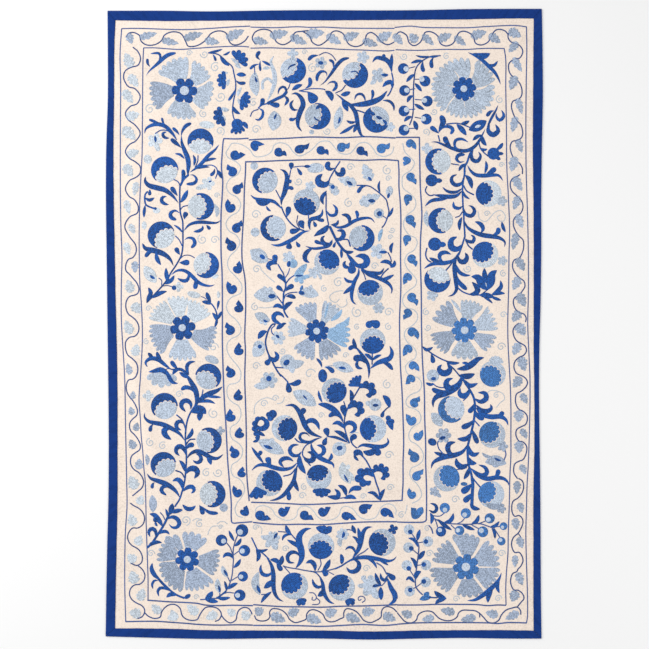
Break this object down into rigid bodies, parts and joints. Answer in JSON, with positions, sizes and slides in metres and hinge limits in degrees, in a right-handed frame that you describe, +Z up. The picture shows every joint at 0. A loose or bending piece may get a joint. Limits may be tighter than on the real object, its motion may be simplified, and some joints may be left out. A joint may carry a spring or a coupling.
{
  "type": "suzani blanket",
  "caption": "Embroidered cotton blanket laid flat: panels sewn side by side, bound all round in blue, with soft folds, to lie on a bed, sofa, floor or table.",
  "frame": {"origin": "under the middle of the blanket, on the surface that it lies on", "axes": "+X across the blanket to the right, +Y along its length, +Z up out of its embroidered face"},
  "size_m": [1.3918, 2.0076, 0.0081],
  "materials": {
    "ground_cotton": "plain-woven unbleached cotton, matt, with a faint pink cast",
    "binding_cotton": "plain-woven blue cotton, matt",
    "dark_blue_thread": "soft silky embroidery thread in couched rows",
    "mid_blue_thread": "soft silky embroidery thread in couched rows",
    "pale_blue_thread": "soft silky embroidery thread in couched rows"
  },
  "bodies": {
    "root": {"panel_left": "ground_cotton", "panel_centre": "ground_cotton", "panel_right": "ground_cotton", "binding_left": "binding_cotton", "binding_right": "binding_cotton", "binding_top": "binding_cotton", "binding_bottom": "binding_cotton"}
  },
  "joints": []
}
